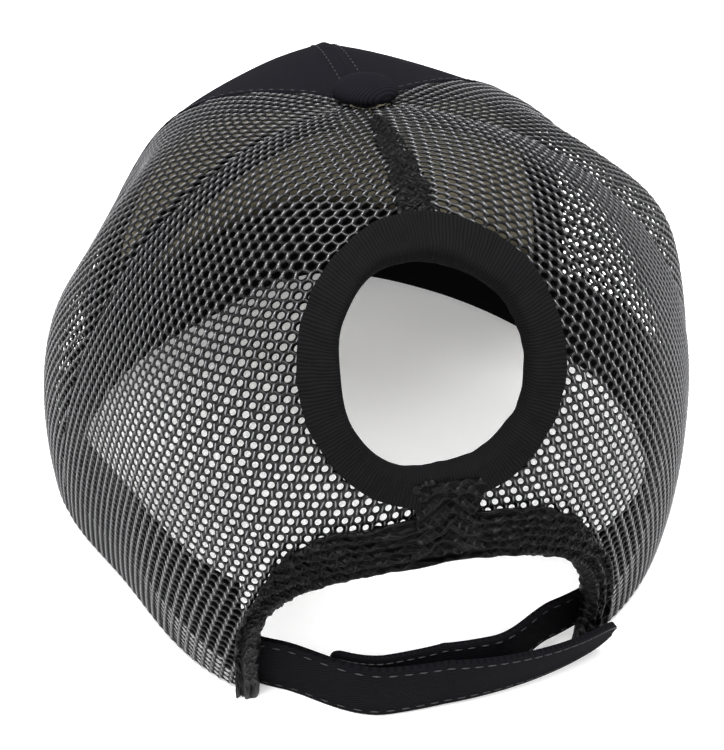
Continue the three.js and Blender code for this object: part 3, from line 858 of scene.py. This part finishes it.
def front_panel(side):
    word = "left" if side > 0 else "right"

    def place(across, along):
        first, second = seam_azimuth(FRONT, along), seam_azimuth(FRONT + 1, along)
        centre = side * (first + (second - first) * across)
        inset = 0.1 * degrees_per_millimetre(centre, along)
        azimuth = side * (first + inset + (second - first - 2 * inset) * across)
        return crown(azimuth, along, 0)

    piece = cloth(f"front_twill_{word}", FRONT_CLOTH, (36, 60), place,
                  [front_twill, backing_foam], FRONT_WALL, 0.5)
    return dress(piece, "twill", f"front_panel_{word}")


for side in (1, -1):
    front_panel(side)


def beside_seam(seam_at, aside):
    """Stitches that run up beside a seam, aside millimetres from it, on the outer face."""
    def seam(way):
        share = 0.02 + 0.93 * way
        azimuth = seam_at(share)
        azimuth = azimuth + aside * degrees_per_millimetre(azimuth, share)
        return crown(azimuth, share, -0.1), shell_normal(azimuth, turn_at(azimuth, share))
    return seam


for aside, word in ((CENTRE_ROW_ASIDE, "left"), (-CENTRE_ROW_ASIDE, "right")):
    stitch_row(f"front_centre_stitches_{word}", beside_seam(lambda share: 180 + 0 * share, aside),
               FRONT_ROW_STITCHES, "twill")
for side, word in ((1, "left"), (-1, "right")):
    stitch_row(f"front_side_stitches_{word}",
               beside_seam(lambda share: side * seam_azimuth(FRONT, share), side * SIDE_ROW_ASIDE),
               FRONT_ROW_STITCHES, "twill")


# Tapes

def strip(name, steps, azimuth_at, width_at, shares, depth_at, wall, material, length):
    def place(across, along):
        share = shares[0] + (shares[1] - shares[0]) * along
        centre = azimuth_at(share)
        aside = (across - 0.5) * width_at(along) * degrees_per_millimetre(centre, share)
        return crown(centre + aside, share, depth_at(across, along))

    return cloth(name, (width_at(0.5), length), steps, place, [material], wall, 0.3)


def creases(count, longest, shortest):
    """Waves in random directions over flat millimetres that add up to crumpled cloth, about -1
    to 1."""
    lengths = np.geomspace(longest, shortest, count)
    headings = random.uniform(0, math.pi, count)
    starts = random.uniform(0, 2 * math.pi, count)

    def height(x, y):
        total = 0
        for length, heading, start in zip(lengths, headings, starts):
            run = x * math.cos(heading) + y * math.sin(heading)
            total = total + np.sin(2 * math.pi * run / length + start) * math.sqrt(length / longest)
        return total / math.sqrt(count) * 1.2

    return height


def seam_tape(index, side, name):
    top = share_at_radius(side * PANELS[index][1], TAPE_TOP_RADIUS)
    piece = strip(f"{name}_cloth", (6, 60), lambda share: side * seam_azimuth(index, share),
                  lambda along: TAPE_WIDTH, (0, top), lambda across, along: TAPE_DEPTH[index],
                  TAPE_WALL, tape_twill, TAPE_LENGTH)
    return dress(piece, "tape", name)


for side, word in ((1, "left"), (-1, "right")):
    seam_tape(FRONT, side, f"front_seam_tape_{word}")
    seam_tape(SIDE, side, f"side_seam_tape_{word}")

top_of_hole = float(round_hole(np.array(0.25), np.array(HOLE_BINDING_WIDTH + 0.4))[1])
strip_creases = creases(9, 9, 1.6)


def strip_depth(across, along):
    """The strip's crumpled outer face, which fills the groove of the centre back seam."""
    crumple = strip_creases(across * BACK_STRIP_WIDTH, along * BACK_STRIP_LENGTH)
    return 0.6 - 0.45 * crumple - 1.2 * (1 - np.abs(2 * across - 1))


back_strip = strip("back_seam_strip_net", (28, 90), lambda share: 0 * share,
                   lambda along: BACK_STRIP_WIDTH * (1 - along / 2),
                   (top_of_hole, share_at_radius(0, TAPE_TOP_RADIUS)), strip_depth,
                   TAPE_WALL, folded_yarn, BACK_STRIP_LENGTH)
dress(back_strip, "folded_net", "back_seam_strip")

tab_top = float(round_hole(np.array(0.75), np.array(0.4))[1])
tab_bottom = float(round_arch(np.array(0.5), np.array(ARCH_BINDING_WIDTH / 4))[1])
tab_creases = creases(9, 9, 1.8)


def tab_depth(across, along):
    """Chevrons of cord stacked up the tab, whose sides turn down into the net."""
    x, y = (across - 0.5) * TAB_WIDTH, along * TAB_LENGTH
    crumple = tab_creases(x, y)
    chevrons = np.sin(2 * math.pi * (y + 0.5 * np.abs(x)) / CHEVRON_PITCH + crumple)
    turned_down = 1.6 * np.abs(2 * across - 1) ** 3
    return TAB_DEPTH - CHEVRON_HEIGHT * chevrons - 0.4 * crumple + turned_down


back_tab = strip("back_seam_tab_net", (60, 60), lambda share: 0 * share,
                 lambda along: TAB_WIDTH * (1.1 + 0.1 * np.cos(2 * math.pi * along)),
                 (tab_bottom, tab_top), tab_depth, TAPE_WALL, folded_yarn, TAB_LENGTH)
dress(back_tab, "folded_net", "back_seam_tab")


# Bindings

FOLD_REACH = NET_DEPTH + FOLD_GAP


def fold(along, width, round_over):
    """Outset, depth and side, from 1 outside to -1 inside, of cloth folded over the net's edge."""
    outer = np.clip(along / FOLD_LEG, 0, 1)
    inner = np.clip((along - (1 - FOLD_LEG)) / FOLD_LEG, 0, 1)
    bend = np.clip((along - FOLD_LEG) / (1 - 2 * FOLD_LEG), 0, 1) * math.pi
    outset = width * (1 - outer) + width * INNER_LEG_SHARE * inner - round_over * np.sin(bend)
    side = np.cos(bend)
    return outset, NET_DEPTH - FOLD_REACH * side, side


def hole_edge(way):
    """How far the slack inner edge of the hole stands out from its outline."""
    place = way % 1 * len(HOLE_EDGE)
    row = np.floor(place).astype(int)
    eased = 0.5 - 0.5 * np.cos((place - row) * math.pi)
    return mix(HOLE_EDGE[row % len(HOLE_EDGE)], HOLE_EDGE[(row + 1) % len(HOLE_EDGE)], eased)


def hole_binding():
    perimeter = math.pi * (HOLE_WIDTH + HOLE_HEIGHT) / 2
    puckers = creases(7, 12, 2.4)

    def place(across, along):
        outset, depth, side = fold(along, HOLE_BINDING_WIDTH, HOLE_ROUND_OVER)
        at_fold = np.clip(1 - outset / HOLE_BINDING_WIDTH, 0, 1)
        angle = across * 2 * math.pi
        around = HOLE_WIDTH / 2 + outset
        ripple = puckers(around * np.cos(angle), around * np.sin(angle))
        azimuth, share = round_hole(across, outset + hole_edge(across) * at_fold)
        return crown(azimuth, share, depth - HOLE_RIPPLE * ripple * side)

    piece = cloth("hole_binding_cloth", (perimeter, HOLE_BAND_WIDTH), (240, 30), place,
                  [binding_twill], FOLD_WALL, 0, closed=True)
    dress(piece, "binding", "hole_binding")

    def seam(way):
        azimuth, share = round_hole(way % 1, HOLE_BINDING_WIDTH - STITCH_INSET)
        points = crown(azimuth, share, NET_DEPTH - FOLD_REACH - STITCH_LIFT)
        return points, shell_normal(azimuth, turn_at(azimuth, share))

    stitch_row("hole_binding_stitches", seam, int(perimeter * 1.15 / STITCH_PITCH), "binding")


def arch_binding():
    right, left = ARCH_FOOT_BINDING_WIDTHS
    band_creases = creases(11, 24, 1.8)

    def place(across, along):
        foot = right + (left - right) * across
        from_foot = np.minimum(across, 1 - across)
        width = foot + (ARCH_BINDING_WIDTH - foot) * smooth_step(from_foot, 0.2, 0.46)
        outset, depth, side = fold(along, width, ARCH_ROUND_OVER)
        crumple = band_creases(across * ARCH_BAND_LENGTH, along * ARCH_BAND_WIDTH)
        cords = np.sin(2 * math.pi * outset / ARCH_CORD_PITCH + 1.6 * crumple)
        azimuth, share = round_arch(across, outset + 0.5 * crumple * np.sin(math.pi * along) ** 4)
        proud = ARCH_CORD_HEIGHT * cords + ARCH_CRUMPLE * crumple
        return crown(azimuth, share, depth - side * proud)

    piece = cloth("arch_binding_cloth", (ARCH_BAND_LENGTH, ARCH_BAND_WIDTH), (420, 84), place,
                  [folded_yarn], FOLD_WALL, 0)
    return dress(piece, "folded_net", "arch_binding")


hole_binding()
arch_binding()


# Sweatband

def sweatband():
    start, end = ARCH_FOOT + SWEATBAND_CLEAR, 360 - ARCH_FOOT_RIGHT - SWEATBAND_CLEAR

    def place(across, along):
        azimuth = start + (end - start) * across
        share = share_at_height(azimuth, rim_height(azimuth) + along * SWEATBAND_HEIGHT)
        return crown(azimuth, share, SWEATBAND_DEPTH)

    piece = cloth("sweatband_cloth", (SWEATBAND_LENGTH, SWEATBAND_HEIGHT), (150, 10), place,
                  [sweatband_twill], SWEATBAND_WALL, 0.4)
    return dress(piece, "sweatband", "sweatband")


sweatband()


# Straps

def across_arch(azimuth):
    return smooth_step(-azimuth, -ARCH_FOOT, ARCH_FOOT_RIGHT)


def strap(name, node, start, end, depth_at, lift, lean, tip_radius):
    """A strap that grows narrower and lifts from the left foot of the arch to the right one."""
    def place(across, along, proud=0.0):
        eased = np.sin(across * math.pi / 2)
        azimuth = start + (end - start) * eased
        left = np.abs(azimuth - end) / degrees_per_millimetre(azimuth, 0.0)
        near = np.minimum(left, tip_radius)
        height = mix(STRAP_HEIGHT, STRAP_TIP_HEIGHT, across_arch(azimuth))
        half = height / 2 - tip_radius + np.sqrt(
            np.clip(tip_radius ** 2 - (tip_radius - near) ** 2, 0, None))
        level = lift * across_arch(azimuth) + height / 2 + (along - 0.5) * 2 * half
        leaning = 0.5 + (along - 0.5) * 2 * half / height
        depth = depth_at(azimuth) - lean * across_arch(azimuth) * leaning - proud
        points = crown(azimuth, share_at_height(azimuth, level), depth)
        points[..., 2] = level
        return points

    def edge_seam(low_or_high):
        def seam(way):
            across = 0.06 + 0.9 * way
            along = np.full_like(across, low_or_high)
            points = place(across, along, 0.05)
            azimuth = start + (end - start) * np.sin(across * math.pi / 2)
            return points, shell_normal(azimuth, np.zeros_like(azimuth))
        return seam

    length = abs(end - start) * math.pi / 180 * CROWN_BACK_REACH
    piece = cloth(name, (length, STRAP_HEIGHT), (90, 10), place, [strap_twill], STRAP_WALL, 0.35)
    dress(piece, "strap", node)
    for word, along in (("lower", 0.1), ("upper", 0.9)):
        stitch_row(f"{name}_stitches_{word}", edge_seam(along), int(length / STITCH_PITCH), "strap")


def outer_depth(azimuth):
    return mix(STRAP_OUTSIDE, STRAP_INSIDE, smooth_step(azimuth, ARCH_FOOT * 0.3, ARCH_FOOT * 0.88))


def inner_depth(azimuth):
    inside = smooth_step(-azimuth, ARCH_FOOT_RIGHT * 0.3, ARCH_FOOT_RIGHT * 0.8)
    return mix(outer_depth(azimuth) + STRAP_WALL + CLOTH_GAP, STRAP_INSIDE, inside)


overlap = STRAP_OVERLAP * float(degrees_per_millimetre(np.array(-ARCH_FOOT_RIGHT), np.array(0.0)))
strap("strap_outer_cloth", "strap_outer", ARCH_FOOT + SEWN_IN, -ARCH_FOOT_RIGHT - overlap,
      outer_depth, STRAP_TIP_LIFT, STRAP_LEAN, STRAP_TIP_RADIUS)
strap("strap_inner_cloth", "strap_inner", -ARCH_FOOT_RIGHT - SEWN_IN, INNER_STRAP_END,
      inner_depth, STRAP_TIP_LIFT + INNER_STRAP_LIFT, 0, INNER_TIP_RADIUS)


# Peak

def peak():
    root_y = -PEAK_ROOT_SHARE * CROWN_FRONT_REACH
    front_y = crown(180, 0)[1] - PEAK_LENGTH

    def place(across, along):
        azimuth = 180 - PEAK_ROOT_AZIMUTH + 2 * PEAK_ROOT_AZIMUTH * across
        inner = crown(azimuth, 0, 0.3)
        sweep = math.pi * (0.5 - across)
        x = PEAK_WIDTH / 2 * np.sin(sweep)
        y = root_y + (front_y - root_y) * np.clip(np.cos(sweep), 0, 1) ** PEAK_ROUNDNESS
        z = PEAK_ARCH * (1 - (2 * x / PEAK_WIDTH) ** 2)
        outer = np.stack([x, y, z], -1)
        from_end = np.clip((1 - np.abs(2 * across - 1)) / PEAK_END_ROUNDING, 0, 1)
        reach = mix(PEAK_END_SHARE, 1, np.sin(from_end * math.pi / 2)) * along
        return inner + (outer - inner) * reach[..., None] + np.array([0, 0, PEAK_WALL])

    def stitched_row(along):
        def seam(way):
            across = 0.04 + 0.92 * way
            points = place(across, np.full_like(across, along)) + UPWARDS * 0.05
            return points, np.broadcast_to(UPWARDS, points.shape)
        return seam

    for row in range(PEAK_ROWS):
        along = PEAK_FIRST_ROW - row * PEAK_ROW_STEP
        count = PEAK_ROW_STITCHES - FEWER_EACH_ROW * row
        stitch_row(f"peak_stitches_{row + 1}", stitched_row(along), count, "twill")

    piece = cloth("peak_twill", PEAK_CLOTH, (80, 24), place, [front_twill], PEAK_WALL, 0.9,
                  outwards=UPWARDS.tolist())
    return dress(piece, "twill", "peak")


peak()


# Button

def button():
    bm = bmesh.new()
    radius = BUTTON_DIAMETER / 2
    profile = [(0, BUTTON_HEIGHT)]
    for k in range(1, 9):
        angle = math.pi / 2 * (1 - k / 8)
        profile.append((radius * math.cos(angle), 1 + (BUTTON_HEIGHT - 1) * math.sin(angle)))
    profile += [(radius * 0.97, 0.4), (radius * 0.85, 0), (3.2, 0), (3.2, -2), (0, -2)]
    base = CROWN_HEIGHT + 0.8
    verts = [bm.verts.new((x * MM, 0, (base + z) * MM)) for x, z in profile]
    edges = [bm.edges.new(pair) for pair in zip(verts, verts[1:])]
    bmesh.ops.spin(bm, geom=verts + edges, cent=(0, 0, 0), axis=(0, 0, 1), angle=2 * math.pi,
                   steps=40, use_merge=True)
    bmesh.ops.remove_doubles(bm, verts=bm.verts, dist=MERGE_WITHIN * MM)
    bmesh.ops.recalc_face_normals(bm, faces=bm.faces)
    layer = bm.loops.layers.uv.new("cloth")
    for face in bm.faces:
        for loop in face.loops:
            loop[layer].uv = loop.vert.co[:2]
    bmesh.ops.translate(bm, verts=bm.verts, vec=in_row((APEX_LEFT, APEX_BACK, 0)))
    return dress(finish_piece("button_cloth", bm, [front_twill]), "twill", "button")


button()


# Studio

CAMERA_AZIMUTH = 11.478
CAMERA_ELEVATION = 34.157
CAMERA_ROLL = 0.459
CAMERA_DISTANCE = 306.1
CAMERA_TARGET = (-0.283, 0, 25.45)
FOCAL_PIXELS = 1054.4
PHOTO_HEIGHT = 750
SENSOR = 36


def camera():
    data = bpy.data.cameras.new("camera")
    data.sensor_fit = "VERTICAL"
    data.sensor_height = SENSOR
    data.lens = FOCAL_PIXELS / PHOTO_HEIGHT * SENSOR
    data.clip_start = 0.01
    azimuth, elevation = math.radians(CAMERA_AZIMUTH), math.radians(CAMERA_ELEVATION)
    back = Vector((math.sin(azimuth) * math.cos(elevation), math.cos(azimuth) * math.cos(elevation),
                   math.sin(elevation)))
    turn = back.to_track_quat("Z", "Y").to_matrix() @ Matrix.Rotation(
        math.radians(CAMERA_ROLL), 3, "Z")
    place = Vector(in_row(CAMERA_TARGET)) + back * CAMERA_DISTANCE * MM
    rig = bpy.data.objects.new("camera", data)
    rig.matrix_world = Matrix.Translation(place) @ turn.to_4x4()
    bpy.context.collection.objects.link(rig)
    bpy.context.scene.camera = rig


def floor():
    bm = bmesh.new()
    bmesh.ops.create_grid(bm, x_segments=1, y_segments=1, size=3)
    piece = finish_piece("floor", bm, [pale_floor], smooth=False)


def softbox(name, place, aim, size, power):
    data = bpy.data.lights.new(name, "AREA")
    data.shape = "RECTANGLE"
    data.size, data.size_y = size
    data.energy = power
    light = bpy.data.objects.new(name, data)
    direction = Vector(place) - Vector(aim)
    turn = direction.to_track_quat("Z", "Y").to_matrix()
    light.matrix_world = Matrix.Translation(place) @ turn.to_4x4()
    bpy.context.collection.objects.link(light)


# Pale paper that glows a little, a painted light with no lamp, so that the floor under the cap stays
# white
pale_floor, tree, shader = new_material("pale_paper")
shader.inputs["Base Color"].default_value = srgb("#f4f4f4")
shader.inputs["Roughness"].default_value = 0.9
shader.inputs["Emission Color"].default_value = srgb("#ffffff")
shader.inputs["Emission Strength"].default_value = 0.32

camera()
floor()
softbox("overhead", (0.1, 0.2, 1.2), (0, 0, 0), (0.6, 0.6), 30)
softbox("left_fill", (0.9, 0.7, 0.7), (0, 0, 0.05), (0.4, 0.4), 7)
softbox("right_fill", (-0.9, 0.5, 0.6), (0, 0, 0.05), (0.4, 0.4), 4)
world = bpy.data.worlds.new("studio")
world.use_nodes = True
world.node_tree.nodes["Background"].inputs[0].default_value = srgb("#ffffff")
world.node_tree.nodes["Background"].inputs[1].default_value = 0.5
bpy.context.scene.world = world
bpy.context.scene.view_settings.view_transform = "Standard"
